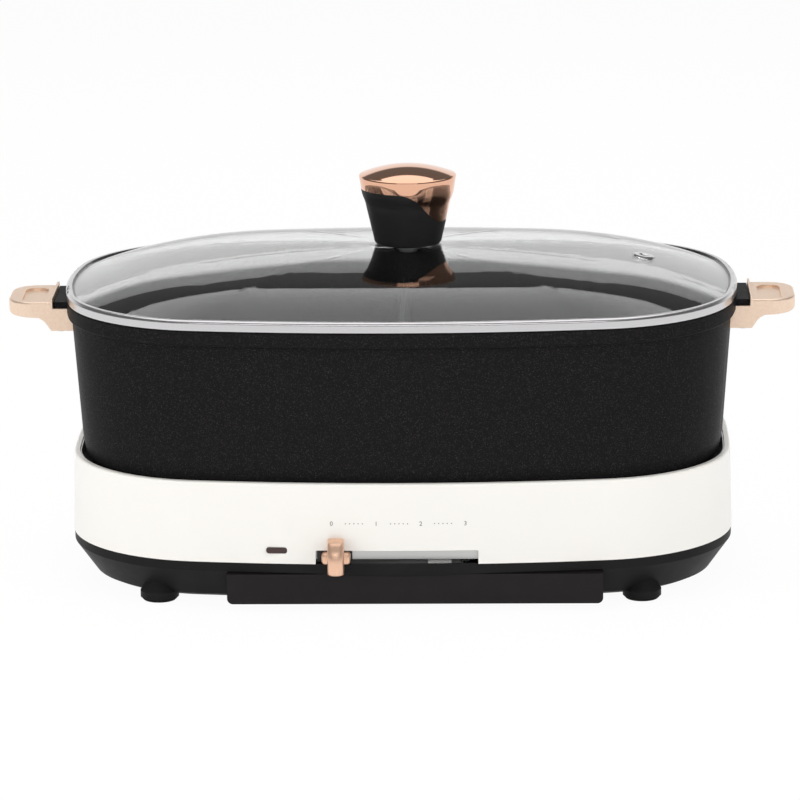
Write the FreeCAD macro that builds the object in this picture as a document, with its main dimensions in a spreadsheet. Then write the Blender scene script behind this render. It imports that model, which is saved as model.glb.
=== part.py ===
import FreeCAD, Part
import Sketcher
import math
import os
from types import SimpleNamespace

V = FreeCAD.Vector
Rotation = FreeCAD.Rotation
doc = FreeCAD.newDocument("hot_pot")

# ---------------------------------------------------------------------------
# Driving dimensions (mm, degrees).  X runs along the pot, Y from front to
# back, Z up; the table is z = 0 and the middle of the pot is the origin.
# An outline is eight tangent arcs; an inset moves all of it inward.
# ---------------------------------------------------------------------------
SIZES = [
    ("base_half_length", 201.8), ("base_half_depth", 128.1), ("base_front_radius", 859),
    ("base_end_radius", 1091), ("base_corner_radius", 90.5),
    ("vessel_half_length", 3.2), ("vessel_half_depth", 1.1), ("vessel_front_radius", 826),
    ("vessel_end_radius", 251), ("vessel_corner_radius", 93.2),
    # shared: how far a cutting tool overshoots, how deep it drills, screws
    ("spare", 2), ("drill", 20), ("screw_radius", 1.6), ("screw_fit", 0.05),
    ("screw_clear", 0.2), ("screw_head", 3.2), ("head_height", 2.2), ("head_edge", 0.5),
    # upper shell
    ("shell_low", 29.1), ("shell_top", 77.9), ("shell_lean", 1.2), ("shell_wall", 2.6),
    ("ledge_sheet", 3), ("mouth_inset", 4.6), ("shell_round", 1.3),
    ("slot_left", 49.6), ("slot_right", 47.2), ("slot_top", 37.5), ("slot_corner", 0.8),
    ("boss_x", 21.8), ("boss_y", 35), ("boss_radius", 4.5), ("rib_sheet", 2.4),
    # lower housing
    ("brim_inset", 0.3), ("waist_z", 23.5), ("waist_inset", 0.4), ("hip_z", 21),
    ("hip_inset", 2.2), ("heel_z", 6), ("heel_inset", 12.8), ("sole_z", 4), ("sole_inset", 17),
    ("brim_inner", 2.7), ("waist_inner_z", 24), ("waist_inner", 2.9), ("hip_inner_z", 21.8),
    ("hip_inner", 4.4), ("heel_inner_z", 9), ("heel_inner", 14.6), ("floor_z", 6.5),
    ("floor_inner", 18),
    ("tower_radius", 5.5), ("sink_top", 18), ("sink_radius", 3.6), ("case_screw_length", 18),
    # feet
    ("foot_x", 56.8), ("foot_y", 31.1), ("foot_radius", 10.6), ("foot_height", 5),
    ("foot_edge", 1), ("foot_boss_radius", 11.6), ("foot_boss_narrow", 5),
    ("foot_boss_low", 2), ("foot_boss_turn", 6), ("foot_boss_high", 14),
    # control cover
    ("cover_left", 102.8), ("cover_right", 121.3), ("cover_front", 2.1), ("cover_back", 28.1),
    ("cover_low", 4.3), ("cover_top", 22.6), ("cover_wall", 2.2), ("cover_round", 3.5),
    ("cover_screw_left", 80), ("cover_screw_right", 100), ("cover_screw_z", 14),
    ("cover_boss_front", 13.1), ("cover_boss_back", 22.1), ("cover_boss_radius", 4),
    ("cover_screw_length", 14),
    # reflector pan
    ("pan_inset", 4.9), ("pan_low", 45), ("pan_top", 77.2), ("pan_sheet", 0.7), ("pan_round", 6),
    ("pan_screw_length", 6),
    # heating element
    ("rod_radius", 3.3), ("rod_z", 53), ("loop_x", 81.8), ("loop_y", 68.1), ("loop_corner", 28),
    ("leg_x", 12), ("leg_turn", 12), ("leg_y", 30.1), ("leg_bend", 7), ("leg_end", 34),
    ("bracket_x", 70), ("bracket_half", 5), ("bracket_reach", 7),
    ("bushing_radius", 6), ("bushing_low", 42), ("bushing_high", 46), ("bushing_neck", 4.2),
    ("fuse_x", 60), ("fuse_length", 22), ("fuse_width", 8), ("fuse_height", 6),
    ("terminal_x", 45), ("terminal_y", 43.1), ("terminal_length", 34), ("terminal_width", 15),
    ("terminal_top", 19.5), ("terminal_pitch", 10), ("terminal_bore", 2.4), ("terminal_depth", 7),
    # slider: lever, carriage, rack, shoe and rail
    ("slider_x", 37.4), ("lever_half", 4.8), ("lever_root", 1.9), ("lever_reach", 13.3),
    ("lever_low", 24), ("lever_high", 46.3), ("block_half", 8.65), ("block_low", 29.5),
    ("block_high", 36.7), ("block_front", 2.9), ("block_back", 5.4), ("block_corner", 1.5),
    ("lever_edge", 1.2),
    ("plate_left", 48.9), ("plate_right", 27.9), ("plate_back", 6.2), ("web_left", 46),
    ("web_right", 29), ("web_front", 5.8), ("web_low", 25), ("web_high", 30.4),
    ("rack_left", 50), ("rack_right", 36), ("rack_front", 12.6), ("pitch_y", 16.6),
    ("gear_module", 1.5), ("gear_teeth", 21), ("rack_teeth", 17), ("addendum", 1.2),
    ("dedendum", 1.8), ("backlash", 0.3), ("tooth_root", 0.8),
    ("shoe_left", 17), ("shoe_right", 31), ("shoe_front", 11.5), ("shoe_low", 24),
    ("rail_half", 60), ("rail_front", 6.5), ("rail_back", 7.3), ("rail_low", 30.8),
    ("rail_high", 41), ("rail_boss_x", 55), ("rail_boss_z", 36), ("rail_boss_radius", 4),
    ("rail_boss_length", 3.4), ("rail_thread", 3.2), ("rail_screw_radius", 1.2),
    ("rail_screw_head", 2.6), ("rail_head_height", 1.6), ("rail_screw_length", 3.6),
    # thermostat
    ("spindle_x", 30), ("spindle_y", 32.35), ("spindle_radius", 3), ("spindle_low", 13),
    ("spindle_high", 34), ("thermostat_radius", 12), ("thermostat_foot", 6),
    ("thermostat_top", 22), ("pinion_low", 25.5), ("pinion_high", 30), ("hub_radius", 5),
    ("hub_gap", 0.5),
    # lamp
    ("lamp_x", 72.8), ("lamp_z", 37.2), ("lamp_hole_half", 6.3), ("lamp_hole_rise", 1.9),
    ("lens_half", 6.1), ("lens_rise", 1.7), ("lens_corner", 1.6), ("lens_front", 2.7),
    ("lens_back", 14.1),
    ("holder_half", 8), ("holder_rise", 5), ("holder_back", 18.1),
    # inlet
    ("inlet_half", 20.7), ("inlet_low", 22), ("inlet_high", 44), ("inlet_root", 20.1),
    ("inlet_reach", 13.3), ("inlet_wall", 2.6), ("inlet_web", 5.1), ("inlet_gap", 0.3),
    ("inlet_ear", 30), ("inlet_ear_low", 30.4), ("inlet_ear_front", 6.6),
    ("inlet_screw_x", 25.5), ("inlet_screw_z", 37), ("inlet_screw_y", 1.3),
    ("inlet_head_height", 1.8), ("inlet_screw_length", 5.5), ("pin_radius", 2.3), ("pin_x", 9),
    ("pin_z", 30.5), ("earth_z", 36.5), ("pin_tail", 26.1), ("pin_reach", 5.9),
    # pot
    ("pot_low", 60), ("pot_turn_inset", 8.4), ("flange_low", 160.5), ("pot_high_inset", 3),
    ("flange_inset", 0.3), ("rim_z", 169.2), ("pot_round", 25), ("well_low", 64),
    ("well_turn_inset", 11.6), ("well_high_inset", 5.6), ("well_round", 21), ("flange_round", 1.1),
    ("divider_half", 2.25), ("divider_top", 150.5), ("divider_round", 1.9), ("lug_root", 5.5),
    ("lug_reach", 6.9), ("lug_half", 24), ("lug_low", 163.1), ("lug_high", 167),
    # handles
    ("grip_half", 26), ("grip_reach", 35), ("grip_top", 167.2), ("lip_outer", 8.6),
    ("lip_inner", 7.3), ("lip_top", 169.3), ("leg_neck", 1.9), ("leg_step", 160.4),
    ("leg_slope", 1.9), ("leg_face", 5.2), ("leg_low", 149.5), ("leg_toe", 8.3),
    ("grip_under", 160.5), ("grip_corner", 16), ("grip_edge", 1.2),
    ("recess_from", 12.5), ("recess_to", 26.5), ("recess_back", 16.5), ("recess_front", 20),
    ("recess_depth", 1.4), ("recess_round", 6), ("recess_corner", 2),
    ("grip_screw_x", 3.6), ("grip_screw_y", 14), ("grip_screw_radius", 2),
    ("grip_screw_head", 3.5), ("grip_screw_top", 166),
    ("grip_screw_room", 0.3),
    # lid
    ("lid_top", 176.2), ("rim_inner", 3.7), ("groove_low", 170.9), ("groove_high", 175.1),
    ("groove_inset", 0.9), ("rim_round", 2), ("glass_edge", 1), ("glass_low", 171),
    ("glass_high", 175), ("dome_inset", 4.2), ("dome_inner", 6.6), ("glass_sheet", 4),
    ("dome_0", 175), ("dome_1", 181.5), ("dome_2", 186.7), ("dome_3", 191.6), ("dome_4", 195.4),
    ("dome_5", 197.3), ("dome_6", 197.9), ("vent_x", 57), ("vent_z", 188.6), ("vent_tilt", 9.5),
    ("vent_hole", 4.9), ("vent_tube", 4.4), ("vent_bore", 2.4), ("vent_flange", 7),
    ("vent_back", 6.2), ("vent_sheet", 1.4), ("vent_step", 5.5), ("vent_edge", 0.7),
    # knob
    ("knob_x", 4.2), ("knob_low", 198.6), ("knob_height", 48), ("knob_radius", 29.6),
    ("cap_sheet", 1.3), ("knob_thread", 17), ("seat_radius", 9), ("knob_screw_radius", 2.5),
    ("knob_hole", 3.2), ("knob_head", 5.5), ("knob_head_low", 190), ("knob_washer_low", 192.4),
    ("knob_screw_top", 213), ("sweep_left", 8), ("sweep_right", 21),
]

sheet = doc.addObject("Spreadsheet::Sheet", "dims")
for row, (alias, value) in enumerate(SIZES, start=1):
    sheet.set("A%d" % row, alias)
    sheet.set("B%d" % row, str(value))
    sheet.setAlias("B%d" % row, alias)
doc.recompute()


class Size:
    """A number together with the sheet formula that it follows."""

    def __init__(self, number, formula):
        self.number = float(number)
        self.formula = formula

    def __add__(self, other):
        other = as_size(other)
        return Size(self.number + other.number, "(%s + %s)" % (self.formula, other.formula))

    def __sub__(self, other):
        other = as_size(other)
        return Size(self.number - other.number, "(%s - %s)" % (self.formula, other.formula))

    def __mul__(self, other):
        other = as_size(other)
        return Size(self.number * other.number, "(%s * %s)" % (self.formula, other.formula))

    def __truediv__(self, other):
        other = as_size(other)
        return Size(self.number / other.number, "(%s / %s)" % (self.formula, other.formula))

    def __neg__(self):
        return as_size(-1) * self

    def __radd__(self, other):
        return as_size(other) + self

    def __rsub__(self, other):
        return as_size(other) - self

    def __rmul__(self, other):
        return as_size(other) * self


def as_size(value):
    return value if isinstance(value, Size) else Size(value, "(%.6f)" % value)


d = SimpleNamespace(**{alias: Size(value, "dims." + alias) for alias, value in SIZES})


def measure(start, side, aliases):
    """Turn distances from a wall into places: side 1 is outward, -1 inward."""
    for alias in aliases.split():
        setattr(d, alias, start + side * getattr(d, alias))


# the vessel is a little larger than the base; fittings keep to the nearest wall
measure(d.base_half_length, 1, "vessel_half_length")
measure(d.base_half_depth, 1, "vessel_half_depth")
measure(d.base_half_length, -1, "boss_x foot_x loop_x")
measure(d.base_half_depth, -1, """foot_y cover_front cover_back cover_boss_front cover_boss_back
        loop_y leg_y terminal_y block_back plate_back web_front rack_front pitch_y shoe_front
        rail_front rail_back spindle_y lens_front lens_back holder_back inlet_root inlet_web
        inlet_ear_front pin_tail""")
measure(d.base_half_depth, 1, "block_front lever_root lever_reach inlet_reach inlet_screw_y pin_reach")
measure(d.vessel_half_length, -1, "lug_root leg_neck leg_face vent_x")
measure(d.vessel_half_length, 1, """lug_reach grip_reach lip_outer lip_inner leg_toe
        recess_from recess_to grip_screw_x""")
SIDES = ((-1, "left"), (1, "right"))
ENDS = ((-1, "front"), (1, "back"))


def bind(item, **sizes):
    """Tie properties to the sheet; a double underscore stands for a dot."""
    for name, value in sizes.items():
        item.setExpression(name.replace("__", "."), as_size(value).formula)


def place(item, x=0, y=0, z=0):
    bind(item, Placement__Base__x=x, Placement__Base__y=y, Placement__Base__z=z)
    return item


def refresh(item):
    """Work one object out, with what it stands on, and stop if it fails."""
    item.recompute(True)
    if "Invalid" in item.State or "Error" in item.State or item.Shape.isNull():
        raise ValueError("%s failed: %s" % (item.Name, item.State))
    return item


# ---------------------------------------------------------------------------
# Sketches and features
# ---------------------------------------------------------------------------
def new_body(name):
    return doc.addObject("PartDesign::Body", name)


def origin_part(body, role):
    return next(item for item in body.Origin.OriginFeatures if item.Role == role)


def new_sketch(body, name, role="XY_Plane", lift=0):
    sketch = body.newObject("Sketcher::SketchObject", name)
    sketch.AttachmentSupport = (origin_part(body, role), [""])
    sketch.MapMode = "FlatFace"
    bind(sketch, AttachmentOffset__Base__z=lift)
    return sketch


def datum(sketch, kind, points, value):
    """Add a driving constraint that follows the sheet, whatever its sign."""
    value = as_size(value)
    if value.number < 0:
        value = -value
        points = points[2:] + points[:2]
    index = sketch.addConstraint(Sketcher.Constraint(kind, *points, value.number))
    sketch.setExpression("Constraints[%d]" % index, value.formula)


BASE = (d.base_half_length, d.base_half_depth, d.base_front_radius, d.base_end_radius,
        d.base_corner_radius)
VESSEL = (d.vessel_half_length, d.vessel_half_depth, d.vessel_front_radius, d.vessel_end_radius,
          d.vessel_corner_radius)


def outline(body, name, family, inset=0, lift=0, share=1.0):
    """Sketch eight tangent arcs: two ends, a front, a back and four corners."""
    half_length, half_depth, front, end, corner = [share * (item - inset) for item in family]
    a, b = half_length.number, half_depth.number
    rf, re, rc = front.number, end.number, corner.number
    end_centre, front_centre = V(a - re, 0, 0), V(0, b - rf, 0)
    gap = end_centre - front_centre
    along = ((rf - rc) ** 2 - (re - rc) ** 2 + gap.Length ** 2) / (2 * gap.Length)
    aside = math.sqrt((rf - rc) ** 2 - along ** 2)
    unit = gap * (1 / gap.Length)
    spot = front_centre + unit * along + V(unit.y, -unit.x, 0) * aside
    low = math.atan2(spot.y - end_centre.y, spot.x - end_centre.x)
    high = math.atan2(spot.y - front_centre.y, spot.x - front_centre.x)
    turn = math.pi
    sketch = new_sketch(body, name, lift=lift)
    for centre, radius, start, stop in (
            (end_centre, re, -low, low), (spot, rc, low, high),
            (front_centre, rf, high, turn - high),
            (V(-spot.x, spot.y, 0), rc, turn - high, turn - low),
            (-end_centre, re, turn - low, turn + low), (-spot, rc, turn + low, turn + high),
            (-front_centre, rf, turn + high, 2 * turn - high),
            (V(spot.x, -spot.y, 0), rc, 2 * turn - high, 2 * turn - low)):
        circle = Part.Circle(centre, V(0, 0, 1), radius)
        sketch.addGeometry(Part.ArcOfCircle(circle, start, stop))
    for index in range(8):
        sketch.addConstraint(Sketcher.Constraint("Tangent", index, 2, (index + 1) % 8, 1))
    for index in (0, 4):
        datum(sketch, "Radius", (index,), end)
        sketch.addConstraint(Sketcher.Constraint("PointOnObject", index, 3, -1))
    for index in (2, 6):
        datum(sketch, "Radius", (index,), front)
        sketch.addConstraint(Sketcher.Constraint("PointOnObject", index, 3, -2))
    for index in (1, 3, 5, 7):
        datum(sketch, "Radius", (index,), corner)
    datum(sketch, "DistanceX", (0, 3, -1, 1), end - half_length)
    datum(sketch, "DistanceX", (-1, 1, 4, 3), end - half_length)
    datum(sketch, "DistanceY", (2, 3, -1, 1), front - half_depth)
    datum(sketch, "DistanceY", (-1, 1, 6, 3), front - half_depth)
    return sketch


def loft(name, sections, ruled=False):
    """A body run through outlines (family, inset, height, share)."""
    body = new_body(name)
    sketches = [outline(body, "%s_line_%d" % (name, number), *section)
                for number, section in enumerate(sections)]
    feature = body.newObject("PartDesign::AdditiveLoft", name + "_loft")
    feature.Profile = sketches[0]
    feature.Sections = sketches[1:]
    feature.Ruled = ruled
    refresh(feature)
    return body


ROUND_STEPS = 5


def rounding(family, inset, level, radius, side):
    """Sections, low to high, of a rounded bottom (side 1) or top (side -1) edge."""
    sections = []
    for step in range(ROUND_STEPS + 1):
        angle = math.radians(90 * step / ROUND_STEPS)
        sections.append((family, inset + radius * (1 - math.sin(angle)),
                         level + radius * (side * (1 - math.cos(angle)))))
    return sections[::side]


def pad(body, name, sketch, length, midplane=False):
    feature = body.newObject("PartDesign::Pad", name)
    feature.Profile = sketch
    feature.Midplane = midplane
    bind(feature, Length=length)
    return refresh(feature)


def prism(name, family, inset, low, high):
    """A body that stands straight on an outline between two heights."""
    body = new_body(name)
    pad(body, name + "_pad", outline(body, name + "_line", family, inset, low), high - low)
    return body


def fillet(body, name, test, radius):
    """Round the edges of which every sampled point passes a test."""
    shape = body.Tip.Shape
    edges = []
    for number, edge in enumerate(shape.Edges, start=1):
        span = edge.LastParameter - edge.FirstParameter
        points = [edge.valueAt(edge.FirstParameter + share * span) for share in (0.05, 0.5, 0.95)]
        if all(test(point) for point in points):
            edges.append("Edge%d" % number)
    base = body.Tip
    feature = body.newObject("PartDesign::Fillet", name)
    feature.Base = (base, edges)
    bind(feature, Radius=radius)
    return refresh(feature)


TOUCH = 0.02


def near(value, target):
    return abs(value - target) < TOUCH


def at_height(height):
    return lambda point: near(point.z, height.number)


def polygon(sketch, points):
    """Close a polygon whose corners follow the sheet."""
    corners = [(as_size(across), as_size(up)) for across, up in points]
    spots = [V(across.number, up.number, 0) for across, up in corners]
    count = len(spots)
    for index in range(count):
        sketch.addGeometry(Part.LineSegment(spots[index], spots[(index + 1) % count]))
    for index, (across, up) in enumerate(corners):
        sketch.addConstraint(Sketcher.Constraint("Coincident", index, 2, (index + 1) % count, 1))
        for kind, axis, value in (("DistanceX", -2, across), ("DistanceY", -1, up)):
            if value.number == 0:
                sketch.addConstraint(Sketcher.Constraint("PointOnObject", index, 1, axis))
            else:
                datum(sketch, kind, (-1, 1, index, 1), value)
    return sketch


def revolve(name, points):
    """Turn a half profile (radius, height) about the body's own Z axis."""
    body = new_body(name)
    feature_sketch = polygon(new_sketch(body, name + "_profile", "XZ_Plane"), points)
    feature = body.newObject("PartDesign::Revolution", name + "_turn")
    feature.Profile = feature_sketch
    feature.ReferenceAxis = (origin_part(body, "Z_Axis"), [""])
    feature.Angle = 360
    refresh(feature)
    return body


def block(name, left, right, front, back, low, high):
    """A box between six planes."""
    solid = doc.addObject("Part::Box", name)
    bind(solid, Length=right - left, Width=back - front, Height=high - low)
    return place(solid, left, front, low)


def slab(name, left, right, low, high, front, back, corner):
    """A box whose four corners, seen from the front, are rounded."""
    body = new_body(name)
    line = polygon(new_sketch(body, name + "_line", "XZ_Plane"),
                   [(left, low), (right, low), (right, high), (left, high)])
    pad(body, name + "_pad", line, back - front, midplane=True)
    fillet(body, name + "_corners",
           lambda p: (near(p.x, left.number) or near(p.x, right.number)) and
                     (near(p.z, low.number) or near(p.z, high.number)), corner)
    return place(body, 0, (front + back) / 2, 0)


TURNS = {"up": Rotation(), "right": Rotation(V(0, 1, 0), 90), "back": Rotation(V(1, 0, 0), -90),
         "front": Rotation(V(1, 0, 0), 90), "down": Rotation(V(1, 0, 0), 180)}


def rod(name, radius, length, x=0, y=0, z=0, heading="up"):
    solid = doc.addObject("Part::Cylinder", name)
    solid.Placement.Rotation = TURNS[heading]
    bind(solid, Radius=radius, Height=length)
    return place(solid, x, y, z)


def screw(name, radius, length, head, head_height, x, y, z, heading="up"):
    """A pan-head screw: the outer face of its head lies at x, y, z."""
    body = revolve(name, [(0, 0), (head - d.head_edge, 0), (head, d.head_edge), (head, head_height),
                          (radius, head_height), (radius, head_height + length),
                          (0, head_height + length)])
    body.Placement.Rotation = TURNS[heading]
    return place(body, x, y, z)


def cut(name, base, *tools):
    feature = doc.addObject("Part::Cut", name)
    feature.Base = base
    feature.Tool = tools[0] if len(tools) == 1 else group(name + "_tools", *tools)
    return feature


def join(name, *solids):
    feature = doc.addObject("Part::MultiFuse", name)
    feature.Shapes = list(solids)
    return feature


def group(name, *solids):
    feature = doc.addObject("Part::Compound", name)
    feature.Links = list(solids)
    return feature


def overlap(name, base, tool):
    feature = doc.addObject("Part::Common", name)
    feature.Base = base
    feature.Tool = tool
    return feature


def mirrored(name, source):
    feature = doc.addObject("Part::Mirroring", name)
    feature.Source = source
    feature.Normal = V(1, 0, 0)
    return feature


NODES = []


def keep(item, label):
    """Name a finished piece and check it."""
    refresh(item)
    item.Label = label
    NODES.append(item)
    return item


def corners(x, y):
    """The four spots that mirror each other about both middle planes."""
    return [("%s_%s" % (end_name, side_name), side * x, end * y)
            for side, side_name in SIDES for end, end_name in ENDS]


# ---------------------------------------------------------------------------
# Upper shell: a white moulded band with a ledge round the pot's opening
# ---------------------------------------------------------------------------
shell_outer = loft("shell_outer", [(BASE, 0, d.shell_low)] +
                   rounding(BASE, d.shell_lean, d.shell_top, d.shell_round, -1), ruled=True)
ceiling = d.shell_top - d.ledge_sheet
shell_hollow = loft("shell_hollow",
                    [(BASE, d.shell_wall, d.shell_low), (BASE, d.shell_wall + d.shell_lean, ceiling)],
                    ruled=True)
mouth = prism("mouth", BASE, d.mouth_inset, ceiling - d.spare, d.shell_top + d.spare)
wall_y = d.base_half_depth
slot_cut = slab("slot_cut", -d.slot_left, d.slot_right, d.shell_low - d.spare, d.slot_top,
                -wall_y - d.spare, -wall_y + d.drill, d.slot_corner)
lamp_cut = slab("lamp_cut", -d.lamp_x - d.lamp_hole_half, -d.lamp_x + d.lamp_hole_half,
                d.lamp_z - d.lamp_hole_rise, d.lamp_z + d.lamp_hole_rise,
                -wall_y - d.spare, -wall_y + d.drill, d.lens_corner)
inlet_cut = block("inlet_cut", -d.inlet_half - d.inlet_gap, d.inlet_half + d.inlet_gap,
                  wall_y - d.drill, wall_y + d.spare, d.inlet_low - d.inlet_gap,
                  d.inlet_high + d.inlet_gap)
shell_bosses, shell_bores = [], []
end_wall = d.base_half_length - d.shell_wall / 2
for spot, x, y in corners(d.boss_x, d.boss_y):
    shell_bosses.append(rod("boss_" + spot, d.boss_radius, d.pan_low - d.shell_low, x, y, d.shell_low))
    left, right = (-end_wall, x) if x.number < 0 else (x, end_wall)
    shell_bosses.append(block("rib_" + spot, left, right, y - d.rib_sheet / 2, y + d.rib_sheet / 2,
                              d.shell_low, d.pan_low))
    shell_bores.append(rod("bore_" + spot, d.screw_radius + d.screw_fit, d.pan_low, x, y, d.shell_low))
for side, side_name in SIDES:
    x = side * d.rail_boss_x
    shell_bosses.append(rod("rail_boss_" + side_name, d.rail_boss_radius, d.rail_boss_length, x,
                            -d.rail_front, d.rail_boss_z, "front"))
    shell_bores.append(rod("rail_bore_" + side_name, d.rail_screw_radius + d.screw_fit,
                           d.rail_thread, x, -d.rail_front, d.rail_boss_z, "front"))
    shell_bores.append(rod("inlet_bore_" + side_name, d.screw_radius + d.screw_fit, d.drill,
                           side * d.inlet_screw_x, d.inlet_ear_front, d.inlet_screw_z, "back"))
shell_walls = cut("shell_walls", shell_outer, shell_hollow, mouth)
shell_solid = join("shell_solid", shell_walls, *shell_bosses)
keep(cut("shell", shell_solid, slot_cut, lamp_cut, inlet_cut, *shell_bores), "upper_shell")

# ---------------------------------------------------------------------------
# Lower housing: the black bowl that everything stands in
# ---------------------------------------------------------------------------
housing_outer = loft("housing_outer",
                     [(BASE, d.brim_inset, d.shell_low), (BASE, d.waist_inset, d.waist_z),
                      (BASE, d.hip_inset, d.hip_z), (BASE, d.heel_inset, d.heel_z),
                      (BASE, d.sole_inset, d.sole_z)], ruled=True)
housing_inner = loft("housing_inner",
                     [(BASE, d.brim_inner, d.shell_low), (BASE, d.waist_inner, d.waist_inner_z),
                      (BASE, d.hip_inner, d.hip_inner_z), (BASE, d.heel_inner, d.heel_inner_z),
                      (BASE, d.floor_inner, d.floor_z)], ruled=True)
housing_wall = cut("housing_wall", housing_outer, housing_inner)
housing_bosses, housing_bores = [], []
tower_low = (d.sole_z + d.floor_z) / 2
for spot, x, y in corners(d.boss_x, d.boss_y):
    housing_bosses.append(rod("tower_" + spot, d.tower_radius, d.shell_low - tower_low, x, y, tower_low))
    housing_bores.append(rod("tower_bore_" + spot, d.screw_radius + d.screw_clear, d.shell_low,
                             x, y, 0))
    housing_bores.append(rod("tower_sink_" + spot, d.sink_radius, d.sink_top, x, y, 0))
for spot, x, y in corners(d.foot_x, d.foot_y):
    foot_rise = d.foot_boss_high - d.foot_boss_low
    foot_boss = revolve("foot_boss_" + spot,
                        [(0, 0), (d.foot_boss_radius, 0),
                         (d.foot_boss_radius, d.foot_boss_turn - d.foot_boss_low),
                         (d.foot_boss_narrow, foot_rise), (0, foot_rise)])
    housing_bosses.append(place(foot_boss, x, y, d.foot_boss_low))
    housing_bores.append(rod("foot_socket_" + spot, d.foot_radius + d.screw_fit, d.foot_height, x, y, 0))
cover_spots = (("left", -d.cover_screw_left), ("right", d.cover_screw_right))
cover_studs = []
for name, x in cover_spots:
    cover_studs.append(rod("cover_stud_" + name, d.cover_boss_radius,
                           d.cover_boss_front - d.cover_boss_back, x, -d.cover_boss_back,
                           d.cover_screw_z, "front"))
    housing_bores.append(rod("cover_bore_" + name, d.screw_radius + d.screw_clear, d.drill, x,
                             -d.cover_boss_back, d.cover_screw_z, "front"))
    housing_bores.append(rod("cover_sink_" + name, d.screw_head + d.screw_clear, d.drill, x,
                             -d.cover_boss_back, d.cover_screw_z, "back"))
housing_solid = join("housing_solid", housing_wall, *housing_bosses, *cover_studs)
keep(cut("housing", housing_solid, inlet_cut, *housing_bores), "lower_housing")

for spot, x, y in corners(d.foot_x, d.foot_y):
    pad_body = revolve("foot_body_" + spot,
                       [(0, 0), (d.foot_radius - d.foot_edge, 0), (d.foot_radius, d.foot_edge),
                        (d.foot_radius, d.foot_height), (0, d.foot_height)])
    keep(place(pad_body, x, y), "foot_" + spot)

# ---------------------------------------------------------------------------
# Control cover: the flat-faced block below the slot, screwed on from inside
# ---------------------------------------------------------------------------
cover_block = new_body("cover_block")
cover_length = d.cover_left + d.cover_right
cover_line = polygon(new_sketch(cover_block, "cover_line"),
                     [(0, 0), (cover_length, 0), (cover_length, d.cover_front - d.cover_back),
                      (0, d.cover_front - d.cover_back)])
pad(cover_block, "cover_pad", cover_line, d.cover_top - d.cover_low)
fillet(cover_block, "cover_corners",
       lambda p: near(p.z, 0) and (near(p.x, 0) or near(p.x, cover_length.number)), d.cover_round)
place(cover_block, -d.cover_left, -d.cover_front, d.cover_low)
cover_well = block("cover_well", -d.cover_left + d.cover_wall, d.cover_right - d.cover_wall,
                   -d.cover_front + d.cover_wall, -d.cover_back + d.spare,
                   d.cover_low + d.cover_wall, d.cover_top - d.cover_wall)
cover_bosses, cover_bores, cover_screws = [], [], []
for name, x in cover_spots:
    cover_bosses.append(rod("cover_boss_" + name, d.cover_boss_radius,
                            d.cover_front - d.cover_wall / 2 - d.cover_boss_back, x,
                            -d.cover_boss_back, d.cover_screw_z, "front"))
    cover_bores.append(rod("cover_thread_" + name, d.screw_radius + d.screw_fit,
                           d.cover_front - 2 * d.cover_wall - d.cover_boss_back, x,
                           -d.cover_boss_back, d.cover_screw_z, "front"))
    cover_screws.append(screw("cover_screw_" + name, d.screw_radius, d.cover_screw_length,
                              d.screw_head, d.head_height, x, -d.cover_boss_back + d.head_height,
                              d.cover_screw_z, "front"))
cover_shell = join("cover_shell", cut("cover_walls", cover_block, cover_well), *cover_bosses)
keep(cut("cover", cover_shell, housing_outer, *cover_studs, *cover_bores), "control_cover")
keep(group("cover_screw_set", *cover_screws), "cover_screws")

# ---------------------------------------------------------------------------
# Reflector pan and the screws that pull pan, shell and housing together
# ---------------------------------------------------------------------------
pan_outer = prism("pan_outer", BASE, d.pan_inset, d.pan_low, d.pan_top)
fillet(pan_outer, "pan_turn", at_height(d.pan_low), d.pan_round)
pan_inner = prism("pan_inner", BASE, d.pan_inset + d.pan_sheet, d.pan_low + d.pan_sheet,
                  d.pan_top + d.spare)
fillet(pan_inner, "pan_inner_turn", at_height(d.pan_low + d.pan_sheet), d.pan_round - d.pan_sheet)
pan_floor = d.pan_low + d.pan_sheet
pan_bores, case_screws, pan_screws = [], [], []
for spot, x, y in corners(d.boss_x, d.boss_y):
    pan_bores.append(rod("pan_bore_" + spot, d.screw_radius + d.screw_clear, 2 * d.spare, x, y,
                         d.pan_low - d.spare))
    case_screws.append(screw("case_screw_" + spot, d.screw_radius, d.case_screw_length, d.screw_head,
                             d.head_height, x, y, d.sink_top - d.head_height))
    pan_screws.append(screw("pan_screw_" + spot, d.screw_radius, d.pan_screw_length, d.screw_head,
                            d.head_height, x, y, pan_floor + d.head_height, "down"))
for side, side_name in SIDES:
    pan_bores.append(rod("leg_hole_" + side_name, d.bushing_neck + d.screw_fit, 2 * d.spare,
                         side * d.leg_x, -d.leg_y, d.pan_low - d.spare))
keep(cut("pan", pan_outer, pan_inner, *pan_bores), "reflector_pan")
keep(group("case_screw_set", *case_screws), "case_screws")
keep(group("pan_screw_set", *pan_screws), "pan_screws")

# ---------------------------------------------------------------------------
# Heating element: a sheathed rod bent to a loop, its ends turned down
# ---------------------------------------------------------------------------
def bend(name, radius, x, y, z, rotation):
    """A quarter turn of the rod about x, y, z."""
    torus = doc.addObject("Part::Torus", name)
    bind(torus, Radius1=radius, Radius2=d.rod_radius)
    torus.Angle3 = 90
    torus.Placement.Rotation = rotation
    return place(torus, x, y, z)


def flat(angle):
    return Rotation(V(0, 0, 1), angle)


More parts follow.
